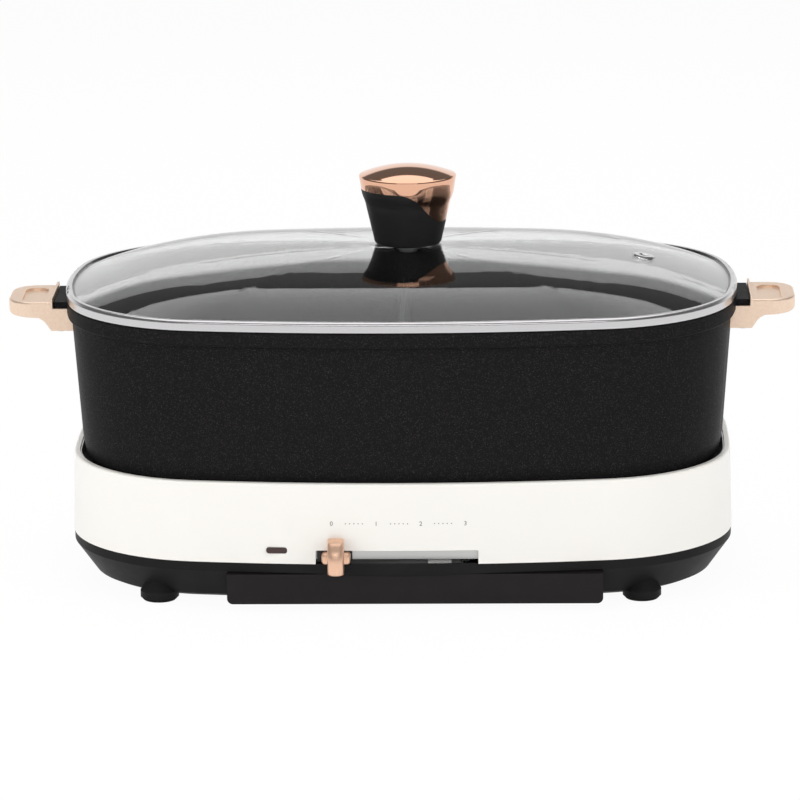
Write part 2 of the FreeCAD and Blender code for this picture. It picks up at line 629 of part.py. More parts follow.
run_x, run_y = d.loop_x - d.loop_corner, d.loop_y - d.loop_corner
leg_side, leg_top = d.leg_x + d.leg_turn, d.rod_z - d.leg_bend
rods = [rod("run_back", d.rod_radius, 2 * run_x, -run_x, d.loop_y, d.rod_z, "right")]
dive = Rotation(V(0, 0, 1), V(0, -1, 0), V(1, 0, 0), "XYZ")
for side, side_name in SIDES:
    right = side > 0
    rods += [
        rod("run_end_" + side_name, d.rod_radius, 2 * run_y, side * d.loop_x, -run_y, d.rod_z, "back"),
        rod("run_front_" + side_name, d.rod_radius, run_x - leg_side,
            leg_side if right else -run_x, -d.loop_y, d.rod_z, "right"),
        bend("bend_back_" + side_name, d.loop_corner, side * run_x, run_y, d.rod_z,
             flat(0 if right else 90)),
        bend("bend_front_" + side_name, d.loop_corner, side * run_x, -run_y, d.rod_z,
             flat(270 if right else 180)),
        bend("bend_leg_" + side_name, d.leg_turn, side * leg_side, -d.loop_y - d.leg_turn, d.rod_z,
             flat(90 if right else 0)),
        rod("run_leg_" + side_name, d.rod_radius, d.leg_y - d.leg_bend - d.loop_y - d.leg_turn,
            side * d.leg_x, -d.leg_y + d.leg_bend, d.rod_z, "back"),
        bend("bend_down_" + side_name, d.leg_bend, side * d.leg_x, -d.leg_y + d.leg_bend, leg_top, dive),
        rod("run_down_" + side_name, d.rod_radius, leg_top - d.leg_end, side * d.leg_x, -d.leg_y,
            d.leg_end),
    ]
keep(join("element", *rods), "heating_element")

saddles, bushings = [], []
for spot, x, y in corners(d.bracket_x, d.loop_y):
    saddle = block("saddle_" + spot, x - d.bracket_half, x + d.bracket_half, y - d.bracket_reach,
                   y + d.bracket_reach, pan_floor, d.pot_low)
    saddle_bore = rod("saddle_bore_" + spot, d.rod_radius + d.screw_fit,
                      2 * (d.bracket_half + d.spare), x - d.bracket_half - d.spare, y, d.rod_z, "right")
    saddles.append(cut("saddle_cut_" + spot, saddle, saddle_bore))
keep(group("saddle_set", *saddles), "element_brackets")
bushing_bore = d.rod_radius + d.screw_fit
under, through = d.pan_low - d.bushing_low, pan_floor - d.bushing_low
for side, side_name in SIDES:
    bushing = revolve("bushing_" + side_name,
                      [(bushing_bore, 0), (d.bushing_radius, 0), (d.bushing_radius, under),
                       (d.bushing_neck, under), (d.bushing_neck, d.bushing_high - d.bushing_low),
                       (bushing_bore, d.bushing_high - d.bushing_low)])
    bushings.append(place(bushing, side * d.leg_x, -d.leg_y, d.bushing_low))
keep(group("bushing_set", *bushings), "terminal_bushings")
keep(block("fuse", d.fuse_x - d.fuse_length / 2, d.fuse_x + d.fuse_length / 2, -d.fuse_width / 2,
           d.fuse_width / 2, d.pan_low - d.fuse_height, d.pan_low), "thermal_fuse")

terminal_bores = [rod("terminal_bore_%d" % number, d.terminal_bore, d.drill,
                      -d.terminal_x + (number - 1) * d.terminal_pitch, -d.terminal_y,
                      d.terminal_top - d.terminal_depth) for number in range(3)]
terminal_bar = block("terminal_bar", -d.terminal_x - d.terminal_length / 2,
                     -d.terminal_x + d.terminal_length / 2, -d.terminal_y - d.terminal_width / 2,
                     -d.terminal_y + d.terminal_width / 2, d.floor_z, d.terminal_top)
keep(cut("terminal", terminal_bar, *terminal_bores), "terminal_block")

# ---------------------------------------------------------------------------
# Indicator lamp: a lens just proud of the shell and the holder behind it
# ---------------------------------------------------------------------------
keep(slab("lens", -d.lamp_x - d.lens_half, -d.lamp_x + d.lens_half, d.lamp_z - d.lens_rise,
          d.lamp_z + d.lens_rise, -d.lens_front, -d.lens_back, d.lens_corner), "indicator_lens")
holder_bar = block("holder_bar", -d.lamp_x - d.holder_half, -d.lamp_x + d.holder_half,
                   -wall_y, -d.holder_back, d.lamp_z - d.holder_rise, d.lamp_z + d.holder_rise)
holder_slot = slab("holder_slot", -d.lamp_x - d.lens_half, -d.lamp_x + d.lens_half,
                   d.lamp_z - d.lens_rise, d.lamp_z + d.lens_rise, -wall_y - d.spare,
                   -d.lens_back, d.lens_corner)
keep(cut("holder", overlap("holder_fit", holder_bar, shell_hollow), holder_slot), "lamp_holder")

# ---------------------------------------------------------------------------
# Mains inlet at the back: a shrouded socket with three pins
# ---------------------------------------------------------------------------
inlet_box = block("inlet_box", -d.inlet_half, d.inlet_half, d.inlet_root, d.inlet_reach,
                  d.inlet_low, d.inlet_high)
ear_bar = block("ear_bar", -d.inlet_ear, d.inlet_ear, d.inlet_ear_front, wall_y,
                d.inlet_ear_low, d.inlet_high)
inlet_ears = overlap("inlet_ears", ear_bar, shell_hollow)
inlet_well = block("inlet_well", -d.inlet_half + d.inlet_wall, d.inlet_half - d.inlet_wall,
                   d.inlet_web, d.inlet_reach + d.spare, d.inlet_low + d.inlet_wall,
                   d.inlet_high - d.inlet_wall)
pins, inlet_bores, inlet_screws = [], [], []
for name, x, z in (("live", -d.pin_x, d.pin_z), ("neutral", d.pin_x, d.pin_z), ("earth", 0, d.earth_z)):
    pins.append(rod("pin_" + name, d.pin_radius, d.pin_reach - d.pin_tail, x, d.pin_tail, z, "back"))
    inlet_bores.append(rod("pin_bore_" + name, d.pin_radius, d.pin_reach - d.pin_tail, x,
                           d.pin_tail, z, "back"))
for side, side_name in SIDES:
    inlet_bores.append(rod("ear_bore_" + side_name, d.screw_radius + d.screw_fit, d.drill,
                           side * d.inlet_screw_x, d.inlet_ear_front - d.spare, d.inlet_screw_z, "back"))
    inlet_screws.append(screw("inlet_screw_" + side_name, d.screw_radius, d.inlet_screw_length,
                              d.screw_head, d.inlet_head_height, side * d.inlet_screw_x, d.inlet_screw_y,
                              d.inlet_screw_z, "front"))
keep(cut("inlet", join("inlet_solid", inlet_box, inlet_ears), inlet_well, *inlet_bores), "inlet_body")
keep(group("pin_set", *pins), "inlet_pins")
keep(group("inlet_screw_set", *inlet_screws), "inlet_screws")

# ---------------------------------------------------------------------------
# Heat slider: bowed lever, carriage, toothed rack, glide shoe; fixed rail
# ---------------------------------------------------------------------------
# the bowed bar seen from the side: shares of its reach forward and of its height
LEVER = ((0, 0.99), (0.31, 1), (0.56, 0.89), (0.77, 0.76), (0.92, 0.63), (1, 0.49), (1, 0.31),
         (0.92, 0.13), (0.7, 0), (0.26, 0), (0.13, 0.18), (0.05, 0.54))
lever_bar = new_body("lever_bar")
lever_line = polygon(new_sketch(lever_bar, "lever_line", "YZ_Plane"),
                     [(-d.lever_root - forward * (d.lever_reach - d.lever_root),
                       d.lever_low + upward * (d.lever_high - d.lever_low))
                      for forward, upward in LEVER])
pad(lever_bar, "lever_pad", lever_line, 2 * d.lever_half, midplane=True)
fillet(lever_bar, "lever_edges", lambda p: near(abs(p.x), d.lever_half.number), d.lever_edge)
place(lever_bar, -d.slider_x)
cross_block = slab("cross_block", -d.slider_x - d.block_half, -d.slider_x + d.block_half,
                   d.block_low, d.block_high, -d.block_front, -d.block_back, d.block_corner)
keep(join("lever", lever_bar, cross_block), "slider_lever")
plate = block("plate", -d.plate_left, -d.plate_right, -d.block_back, -d.plate_back,
              d.block_low, d.block_high)
web = block("web", -d.web_left, -d.web_right, -d.web_front, -d.rack_front, d.web_low, d.web_high)
keep(join("carriage", plate, web), "slider_carriage")

pitch = math.pi * d.gear_module
PRESSURE_ANGLE = 20
slope = math.tan(math.radians(PRESSURE_ANGLE))
half = pitch / 4 - d.backlash / 2
root_half = half + (d.dedendum + d.tooth_root) * slope
tip_half = half - d.addendum * slope
root_y = d.pitch_y + d.dedendum


def tooth_line(body, name, x, y):
    """A straight-flanked tooth that points along +Y, rooted below y."""
    low, high = y - d.tooth_root, y + d.dedendum + d.addendum
    return polygon(new_sketch(body, name), [(x - root_half, low), (x + root_half, low),
                                            (x + tip_half, high), (x - tip_half, high)])


def repeat(body, kind, name, tooth, count, axis, **extent):
    """Repeat a tooth along or about one of the body's own axes."""
    pattern = body.newObject("PartDesign::" + kind, name)
    pattern.Originals = [tooth]
    reference = "Direction" if kind == "LinearPattern" else "Axis"
    setattr(pattern, reference, (origin_part(body, axis), [""]))
    bind(pattern, Occurrences=count, **extent)
    body.Tip = pattern
    return refresh(pattern)


# a tooth stands at the pinion's middle at rest, the others at whole pitches
first_x = d.spindle_x - (d.rack_teeth - 1) * pitch
rack = new_body("rack")
rack_line = polygon(new_sketch(rack, "rack_line"),
                    [(-d.rack_left, -d.rack_front), (d.rack_right, -d.rack_front),
                     (d.rack_right, -root_y), (-d.rack_left, -root_y)])
pad(rack, "rack_bar", rack_line, d.pinion_high - d.web_low)
rack_tooth = pad(rack, "rack_tooth", tooth_line(rack, "rack_tooth_line", first_x, -root_y),
                 d.pinion_high - d.web_low)
repeat(rack, "LinearPattern", "rack_pattern", rack_tooth, d.rack_teeth, "X_Axis",
       Length=(d.rack_teeth - 1) * pitch)
keep(place(rack, 0, 0, d.web_low), "slider_rack")
shoe_front = block("shoe_wall", d.shoe_left, d.shoe_right, -d.shoe_front, -d.rack_front,
                   d.shoe_low, d.web_high)
shoe_base = block("shoe_base", d.shoe_left, d.shoe_right, -d.rack_front, -root_y,
                  d.shoe_low, d.web_low)
keep(join("shoe", shoe_front, shoe_base), "slider_shoe")
rail_bar = block("rail_bar", -d.rail_half, d.rail_half, -d.rail_front, -d.rail_back,
                 d.rail_low, d.rail_high)
rail_bores, rail_screws = [], []
for side, side_name in SIDES:
    x = side * d.rail_boss_x
    rail_bores.append(rod("rail_hole_" + side_name, d.rail_screw_radius + d.screw_clear, 2 * d.spare, x,
                          -d.rail_back + d.spare, d.rail_boss_z, "front"))
    rail_screws.append(screw("rail_screw_" + side_name, d.rail_screw_radius,
                             d.rail_screw_length, d.rail_screw_head, d.rail_head_height, x,
                             -d.rail_back + d.rail_head_height, d.rail_boss_z, "front"))
keep(cut("rail", rail_bar, *rail_bores), "slide_rail")
keep(group("rail_screw_set", *rail_screws), "rail_screws")

# ---------------------------------------------------------------------------
# Thermostat, its spindle and the pinion that the rack turns
# ---------------------------------------------------------------------------
foot_rise = d.spindle_low - d.floor_z
thermostat_rise = d.thermostat_top - d.floor_z
bore_radius = d.spindle_radius + d.screw_fit
thermostat = revolve("thermostat_body",
                     [(0, 0), (d.thermostat_foot, 0), (d.thermostat_foot, foot_rise),
                      (d.thermostat_radius, foot_rise), (d.thermostat_radius, thermostat_rise),
                      (bore_radius, thermostat_rise), (bore_radius, foot_rise), (0, foot_rise)])
keep(place(thermostat, d.spindle_x, -d.spindle_y, d.floor_z), "thermostat")
hub_low, hub_high = d.thermostat_top + d.hub_gap - d.spindle_low, d.pinion_low - d.spindle_low
spindle = revolve("spindle_body",
                  [(0, 0), (d.spindle_radius, 0), (d.spindle_radius, hub_low),
                   (d.hub_radius, hub_low), (d.hub_radius, hub_high), (d.spindle_radius, hub_high),
                   (d.spindle_radius, d.spindle_high - d.spindle_low),
                   (0, d.spindle_high - d.spindle_low)])
keep(place(spindle, d.spindle_x, -d.spindle_y, d.spindle_low), "thermostat_spindle")
pinion = revolve("pinion",
                 [(d.spindle_radius, 0), (d.gear_module * d.gear_teeth / 2 - d.dedendum, 0),
                  (d.gear_module * d.gear_teeth / 2 - d.dedendum, d.pinion_high - d.pinion_low),
                  (d.spindle_radius, d.pinion_high - d.pinion_low)])
pinion_tooth = pad(pinion, "pinion_tooth",
                   tooth_line(pinion, "pinion_tooth_line", as_size(0),
                              d.gear_module * d.gear_teeth / 2 - d.dedendum),
                   d.pinion_high - d.pinion_low)
repeat(pinion, "PolarPattern", "pinion_pattern", pinion_tooth, d.gear_teeth, "Z_Axis", Angle=360)
keep(place(pinion, d.spindle_x, -d.spindle_y, d.pinion_low), "drive_pinion")

# ---------------------------------------------------------------------------
# Pot: a cast vessel with a divider, a flange and two handle lugs
# ---------------------------------------------------------------------------
pot_outer = loft("pot_outer", rounding(VESSEL, d.pot_turn_inset, d.pot_low, d.pot_round, 1) +
                 [(VESSEL, d.pot_high_inset, d.flange_low)], ruled=True)
flange = prism("flange", VESSEL, d.flange_inset, d.flange_low, d.rim_z)
fillet(flange, "flange_edge", at_height(d.flange_low), d.flange_round)
pot_inner = loft("pot_inner", rounding(VESSEL, d.well_turn_inset, d.well_low, d.well_round, 1) +
                 [(VESSEL, d.well_high_inset, d.rim_z)], ruled=True)
divider = slab("divider", -d.divider_half, d.divider_half, d.pot_low, d.divider_top,
               -d.vessel_half_depth, d.vessel_half_depth, d.divider_round)
lugs, lug_bores, handle_screws = [], [], []
for side, side_name in SIDES:
    left, right = (-d.lug_reach, -d.lug_root) if side < 0 else (d.lug_root, d.lug_reach)
    lugs.append(block("lug_" + side_name, left, right, -d.lug_half, d.lug_half, d.lug_low, d.lug_high))
for spot, x, y in corners(d.grip_screw_x, d.grip_screw_y):
    lug_bores.append(rod("lug_bore_" + spot, d.grip_screw_radius + d.screw_fit,
                         d.grip_screw_top - d.lug_low + d.grip_screw_room, x, y, d.lug_low))
    handle_screws.append(screw("handle_screw_" + spot, d.grip_screw_radius,
                               d.grip_screw_top - d.leg_low, d.grip_screw_head, d.head_height,
                               x, y, d.leg_low - d.head_height))
vessel = join("vessel", pot_outer, flange, *lugs)
keep(cut("pot", vessel, cut("compartments", pot_inner, divider), *lug_bores), "pot_vessel")

# ---------------------------------------------------------------------------
# Handles: cast grips whose legs clasp the pot below the lugs
# ---------------------------------------------------------------------------
# the underside from the leg out to the tip: shares of its reach and of its rise
UNDERSIDE = ((0, 0), (0.05, 0.19), (0.11, 0.41), (0.18, 0.58), (0.28, 0.73), (0.55, 0.76),
             (0.85, 0.81), (0.95, 0.88), (1, 1))
handle = new_body("handle")
handle_line = polygon(new_sketch(handle, "handle_line", "XZ_Plane"),
                      [(d.grip_reach, d.grip_top), (d.lip_outer, d.grip_top),
                       (d.lip_outer, d.lip_top), (d.lip_inner, d.lip_top), (d.lip_inner, d.lug_low),
                       (d.leg_neck, d.lug_low), (d.leg_neck, d.leg_step),
                       (d.leg_face, d.leg_step - d.leg_slope), (d.leg_face, d.leg_low)] +
                      [(d.leg_toe + outward * (d.grip_reach - d.leg_toe),
                        d.leg_low + upward * (d.grip_under - d.leg_low))
                       for outward, upward in UNDERSIDE])
pad(handle, "handle_pad", handle_line, 2 * d.grip_half, midplane=True)
fillet(handle, "grip_corners",
       lambda p: near(p.x, d.grip_reach.number) and near(abs(p.y), d.grip_half.number), d.grip_corner)
fillet(handle, "grip_edge",
       lambda p: near(p.z, d.grip_top.number) and not near(p.x, d.lip_outer.number), d.grip_edge)
recess = new_body("recess")
recess_line = polygon(new_sketch(recess, "recess_line"),
                      [(d.recess_from, -d.recess_front), (d.recess_to, -d.recess_front),
                       (d.recess_to, d.recess_back), (d.recess_from, d.recess_back)])
pad(recess, "recess_pad", recess_line, d.recess_depth + d.spare)
for end, y, radius in (("back", d.recess_back, d.recess_round),
                       ("front", -d.recess_front, d.recess_corner)):
    fillet(recess, "recess_" + end, lambda p: near(p.y, y.number) and
           (near(p.x, d.recess_from.number) or near(p.x, d.recess_to.number)), radius)
place(recess, 0, 0, d.grip_top - d.recess_depth)
handle_bores = [rod("handle_bore_" + end_name, d.grip_screw_radius + d.screw_clear, d.drill,
                    d.grip_screw_x, end * d.grip_screw_y, d.leg_low - d.spare) for end, end_name in ENDS]
# the leg's inner face follows the pot's end, which is rounder than the leg
handle_right = keep(cut("handle_solid", handle, recess, pot_outer, flange, *handle_bores), "handle_right")
keep(mirrored("handle_mirror", handle_right), "handle_left")
keep(group("handle_screw_set", *handle_screws), "handle_screws")

# ---------------------------------------------------------------------------
# Lid: a domed glass in a rolled steel rim
# ---------------------------------------------------------------------------
rim_ring = prism("rim_ring", VESSEL, 0, d.rim_z, d.lid_top)
fillet(rim_ring, "rim_roll", lambda p: near(p.z, d.rim_z.number) or near(p.z, d.lid_top.number),
       d.rim_round)
rim_mouth = prism("rim_mouth", VESSEL, d.rim_inner, d.rim_z - d.spare, d.lid_top + d.spare)
rim_groove = prism("rim_groove", VESSEL, d.groove_inset, d.groove_low, d.groove_high)
keep(cut("rim", rim_ring, rim_mouth, rim_groove), "lid_rim")

DOME = ((1.0, d.dome_0), (0.9, d.dome_1), (0.8, d.dome_2), (0.65, d.dome_3), (0.45, d.dome_4),
        (0.25, d.dome_5), (0.1, d.dome_6))
dome_outer = loft("dome_outer", [(VESSEL, d.dome_inset, height, share) for share, height in DOME])
dome_inner = loft("dome_inner", [(VESSEL, d.dome_inner, height - d.glass_sheet, share)
                                 for share, height in DOME])
glass_edge = prism("glass_edge_ring", VESSEL, d.glass_edge, d.glass_low, d.glass_high)
tilt = Rotation(V(0, 1, 0), d.vent_tilt.number)
lean_x = math.sin(math.radians(d.vent_tilt.number))
lean_z = math.cos(math.radians(d.vent_tilt.number))


def on_vent(item, along):
    """Lean an item with the glass, a distance along the vent's axis from its top face."""
    item.Placement.Rotation = tilt
    return place(item, d.vent_x + along * lean_x, 0, d.vent_z + along * lean_z)


vent_cuts = [on_vent(rod("vent_hole_rod", d.vent_hole, d.drill), -d.drill / 2),
             on_vent(rod("vent_seat_high", d.vent_flange + d.screw_fit, d.drill), as_size(0)),
             on_vent(rod("vent_seat_low", d.vent_back + d.screw_fit, d.drill),
                     d.vent_sheet - d.vent_step - d.drill)]
knob_hole = rod("knob_hole_rod", d.knob_hole, d.drill, d.knob_x, 0, d.knob_head_low)
glass_solid = join("glass_solid", dome_outer, glass_edge)
keep(cut("glass", glass_solid, dome_inner, knob_hole, *vent_cuts), "lid_glass")

vent_rise = d.vent_step + d.vent_sheet
vent = revolve("vent",
               [(d.vent_bore, 0), (d.vent_back, 0), (d.vent_back, d.vent_sheet),
                (d.vent_tube, d.vent_sheet), (d.vent_tube, d.vent_step),
                (d.vent_flange, d.vent_step), (d.vent_flange - d.vent_edge, vent_rise),
                (d.vent_bore + d.vent_edge, vent_rise), (d.vent_bore, vent_rise - d.vent_edge)])
keep(on_vent(vent, -d.vent_step), "vent_grommet")

# ---------------------------------------------------------------------------
# Knob: black grip under a mirrored cap whose edge sweeps down to the right
# ---------------------------------------------------------------------------
# shares of the knob's radius and height, from its foot to the middle of its top
KNOB = ((0.66, 0), (0.69, 0.02), (0.8, 0.32), (0.845, 0.44), (0.868, 0.51), (0.893, 0.562),
        (0.923, 0.605), (0.946, 0.65), (0.964, 0.71), (0.98, 0.78), (1, 0.866),
        (0.973, 0.88), (0.85, 0.912), (0.68, 0.944), (0.476, 0.972), (0.238, 0.994))
# the cap's lower edge: its heights on the left and the right, and its curve
SWEEP_HIGH = 0.71
SWEEP_LOW = 0.308
SWEEP_STEPS = 12
SWEEP_POWER = 1.5


def knob_shape(name, trim):
    """The knob's outline, made smaller all round by trim."""
    points = [(0, trim)]
    for outward, upward in KNOB:
        points.append((outward * d.knob_radius - trim, trim + upward * (d.knob_height - 2 * trim)))
    points.append((0, d.knob_height - trim))
    return place(revolve(name, points), d.knob_x, 0, d.knob_low)


knob_whole = knob_shape("knob_whole", as_size(0))
knob_inner = knob_shape("knob_inner", d.cap_sheet)

# nearly level on the left, then a long S down to the right
sweep_high = d.knob_low + SWEEP_HIGH * d.knob_height
sweep_low = d.knob_low + SWEEP_LOW * d.knob_height
below_points = [(-d.knob_radius - d.spare, d.knob_low - d.spare),
                (d.knob_radius + d.spare, d.knob_low - d.spare),
                (d.knob_radius + d.spare, sweep_low)]
for step in range(SWEEP_STEPS, -1, -1):
    share = step / SWEEP_STEPS
    fall = (1 - math.cos(math.pi * share ** SWEEP_POWER)) / 2
    below_points.append((-d.sweep_left + share * (d.sweep_left + d.sweep_right),
                         sweep_high - fall * (sweep_high - sweep_low)))
below_points.append((-d.knob_radius - d.spare, sweep_high))
below_cap = new_body("below_cap")
below_line = polygon(new_sketch(below_cap, "below_line", "XZ_Plane"), below_points)
pad(below_cap, "below_pad", below_line, 3 * d.knob_radius, midplane=True)
place(below_cap, d.knob_x)
knob_cap = keep(cut("cap", knob_whole, knob_inner, below_cap), "knob_cap")
knob_thread = rod("knob_thread_rod", d.knob_screw_radius + d.screw_fit, d.knob_thread, d.knob_x, 0,
                  d.knob_low)
keep(cut("grip", knob_whole, knob_cap, knob_thread), "knob_grip")


def ring(name, low, high):
    return place(revolve(name, [(d.knob_hole, 0), (d.seat_radius, 0), (d.seat_radius, high - low),
                                (d.knob_hole, high - low)]), d.knob_x, 0, low)


keep(ring("seat", d.dome_6, d.knob_low), "knob_seat")
keep(ring("washer", d.knob_washer_low, d.dome_6 - d.glass_sheet), "knob_washer")
keep(screw("knob_bolt", d.knob_screw_radius, d.knob_screw_top - d.knob_washer_low, d.knob_head,
           d.knob_washer_low - d.knob_head_low, d.knob_x, 0, d.knob_head_low), "knob_screw")

# ---------------------------------------------------------------------------
# Check every object, then write one STEP file per piece
# ---------------------------------------------------------------------------
doc.recompute()
for item in doc.Objects:
    if "Invalid" in item.State or "Error" in item.State:
        raise ValueError("%s failed: %s" % (item.Name, item.State))
for item in NODES:
    if item.Shape.isNull() or not item.Shape.isValid() or not item.Shape.Solids:
        raise ValueError("%s has no valid solid" % item.Label)

os.makedirs("parts", exist_ok=True)
for item in NODES:
    item.Shape.exportStep(os.path.join("parts", item.Label + ".step"))
    extent = item.Shape.BoundBox
    print("%-20s %2d solid(s) %9.0f mm3  x %7.1f %7.1f  y %7.1f %7.1f  z %6.1f %6.1f" % (
        item.Label, len(item.Shape.Solids), item.Shape.Volume, extent.XMin, extent.XMax,
        extent.YMin, extent.YMax, extent.ZMin, extent.ZMax))
print("%d nodes" % len(NODES))
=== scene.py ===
import math
import bpy
from mathutils import Matrix, Vector
from mathutils.bvhtree import BVHTree


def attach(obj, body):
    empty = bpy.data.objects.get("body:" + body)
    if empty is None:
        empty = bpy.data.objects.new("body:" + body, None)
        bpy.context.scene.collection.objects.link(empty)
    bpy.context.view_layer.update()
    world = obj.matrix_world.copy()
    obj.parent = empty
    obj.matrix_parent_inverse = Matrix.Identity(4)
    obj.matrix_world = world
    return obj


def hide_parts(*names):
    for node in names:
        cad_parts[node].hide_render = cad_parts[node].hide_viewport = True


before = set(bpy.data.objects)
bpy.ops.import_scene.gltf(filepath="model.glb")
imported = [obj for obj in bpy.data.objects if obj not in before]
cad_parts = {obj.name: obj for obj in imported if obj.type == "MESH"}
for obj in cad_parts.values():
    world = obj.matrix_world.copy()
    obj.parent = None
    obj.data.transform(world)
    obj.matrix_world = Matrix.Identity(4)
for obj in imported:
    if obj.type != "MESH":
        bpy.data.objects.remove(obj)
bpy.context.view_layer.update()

# ---------------------------------------------------------------------------
# Feet: four moulded rubber pads, pushed into sockets in the lower housing.
# Matt black rubber with a fine mould grain and a faintly uneven tone.
# ---------------------------------------------------------------------------
MM = 0.001


class Value:
    """A shader socket that takes part in ordinary arithmetic."""

    def __init__(self, nodes, socket):
        self.nodes = nodes
        self.socket = socket

    def _worked(self, operation, first, second):
        return self.nodes.add("ShaderNodeMath", {"operation": operation}, {0: first, 1: second})

    def __add__(self, other):
        return self._worked("ADD", self, other)

    def __radd__(self, other):
        return self._worked("ADD", other, self)

    def __sub__(self, other):
        return self._worked("SUBTRACT", self, other)

    def __rsub__(self, other):
        return self._worked("SUBTRACT", other, self)

    def __mul__(self, other):
        return self._worked("MULTIPLY", self, other)

    def __gt__(self, other):
        return self._worked("GREATER_THAN", self, other)

    def clamp(self):
        return self.nodes.add("ShaderNodeClamp", {}, {"Value": self}, "Result")


class Nodes:
    """A node tree that grows by one method."""

    def __init__(self, tree):
        self.tree = tree

    def add(self, kind, settings, inputs, output=0):
        """A node with its settings made first, then its sockets' values or links."""
        node = self.tree.nodes.new(kind)
        for key, value in settings.items():
            setattr(node, key, value)
        for key, value in inputs.items():
            if isinstance(value, Value):
                self.tree.links.new(value.socket, node.inputs[key])
            else:
                node.inputs[key].default_value = value
        return Value(self, node.outputs[output])

    def ease(self, value, low, high, start=0.0, end=1.0):
        """A smooth change from start at low to end at high."""
        return self.add("ShaderNodeMapRange", {"interpolation_type": "SMOOTHSTEP"},
                        {0: value, 1: low, 2: high, 3: start, 4: end})


class Finish(Nodes):
    """One material with its Principled shader, and the nodes that feed it."""

    def __init__(self, name, colour, roughness, **constants):
        self.material = bpy.data.materials.new(name)
        self.material.use_nodes = True
        super().__init__(self.material.node_tree)
        self.shader = self.tree.nodes["Principled BSDF"]
        self.shader.inputs["Base Color"].default_value = (*colour, 1)
        self.shader.inputs["Roughness"].default_value = roughness
        for key, value in constants.items():
            self.shader.inputs[key.replace("_", " ")].default_value = value
        self.place = self.add("ShaderNodeTexCoord", {}, {}, "Object")

    def noise(self, scale, detail=3.0, roughness=0.5):
        """Soft clouds, with scale cells to the metre."""
        return self.add("ShaderNodeTexNoise", {}, {"Vector": self.place, "Scale": scale,
                                                   "Detail": detail, "Roughness": roughness}, "Fac")

    def cells(self, scale, output="Distance"):
        """Rounded cells, with scale of them to the metre."""
        return self.add("ShaderNodeTexVoronoi", {}, {"Vector": self.place, "Scale": scale}, output)

    def stretched(self, sizes):
        """Object coordinates scaled unevenly, for brushed and drawn metal."""
        return self.add("ShaderNodeMapping", {}, {"Vector": self.place, "Scale": sizes}, "Vector")

    def blend(self, factor, first, second):
        """A colour between two colours."""
        mixed = self.add("ShaderNodeMix", {"data_type": "RGBA"}, {0: factor}, 2)
        node = mixed.socket.node
        for index, value in ((6, first), (7, second)):
            if isinstance(value, Value):
                self.tree.links.new(value.socket, node.inputs[index])
            else:
                node.inputs[index].default_value = (*value, 1)
        return mixed

    def feed(self, socket, value):
        """Link a varying value to one of the shader's sockets."""
        self.tree.links.new(value.socket, self.shader.inputs[socket])
        return self

    def bump(self, height, strength, distance):
        """A relief, distance metres deep, that only the shading shows."""
        normal = self.add("ShaderNodeBump", {}, {"Height": height, "Strength": strength,
                                                 "Distance": distance}, "Normal")
        return self.feed("Normal", normal)


def dress(finish, *nodes):
    """Give CAD nodes or pieces their material."""
    for node in nodes:
        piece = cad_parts[node] if isinstance(node, str) else node
        piece.data.materials.clear()
        piece.data.materials.append(finish.material)


def grained(name, colour, roughness, grain, depth, **constants):
    """Moulded plastic or rubber: fine grain, faint uneven gloss and tone."""
    finish = Finish(name, colour, roughness, **constants)
    gain, lift = 1.35, 0.004
    paler = tuple(channel * gain + lift for channel in colour)
    finish.feed("Base Color", finish.blend(finish.noise(55.0, 4.0) * 0.6, colour, paler))
    finish.feed("Roughness", roughness + (finish.noise(130.0) - 0.5) * 0.16)
    return finish.bump(finish.noise(grain, 4.0, 0.6), 0.35, depth)


foot_rubber = grained("foot rubber", (0.006, 0.0058, 0.0058), 0.75, 1600.0, 0.00006,
                     Specular_IOR_Level=0.12)
dress(foot_rubber, "foot_front_left", "foot_front_right", "foot_back_left", "foot_back_right")

# ---------------------------------------------------------------------------
# Lower housing: a black moulded bowl with a fine spark-eroded surface. The
# flat-faced cover below the slot is a shade darker and screwed on from inside.
# ---------------------------------------------------------------------------
housing_plastic = grained("black housing plastic", (0.0125, 0.0118, 0.012), 0.46, 2600.0, 0.00004,
                          Specular_IOR_Level=0.06)
cover_plastic = grained("dark cover plastic", (0.0105, 0.0088, 0.0095), 0.42, 2600.0, 0.00004,
                        Specular_IOR_Level=0.15)
dress(housing_plastic, "lower_housing")
dress(cover_plastic, "control_cover")

# ---------------------------------------------------------------------------
# Works inside the base: aluminium pan, sheathed element, ceramic insulators,
# a thermostat turned by a nylon pinion, and the screws that hold it together.
# ---------------------------------------------------------------------------
def metal(name, colour, roughness, brushing, depth=0.00001):
    """Drawn or brushed metal whose fine lines run along one axis."""
    finish = Finish(name, colour, roughness, Metallic=1.0)
    lines = finish.add("ShaderNodeTexNoise", {}, {"Vector": finish.stretched(brushing), "Scale": 1.0,
                                                  "Detail": 3.0}, "Fac")
    gain = 1.08
    paler = tuple(min(1.0, channel * gain) for channel in colour)
    finish.feed("Base Color", finish.blend(lines, colour, paler))
    finish.feed("Roughness", roughness + (lines - 0.5) * 0.12)
    return finish.bump(lines, 0.3, depth)


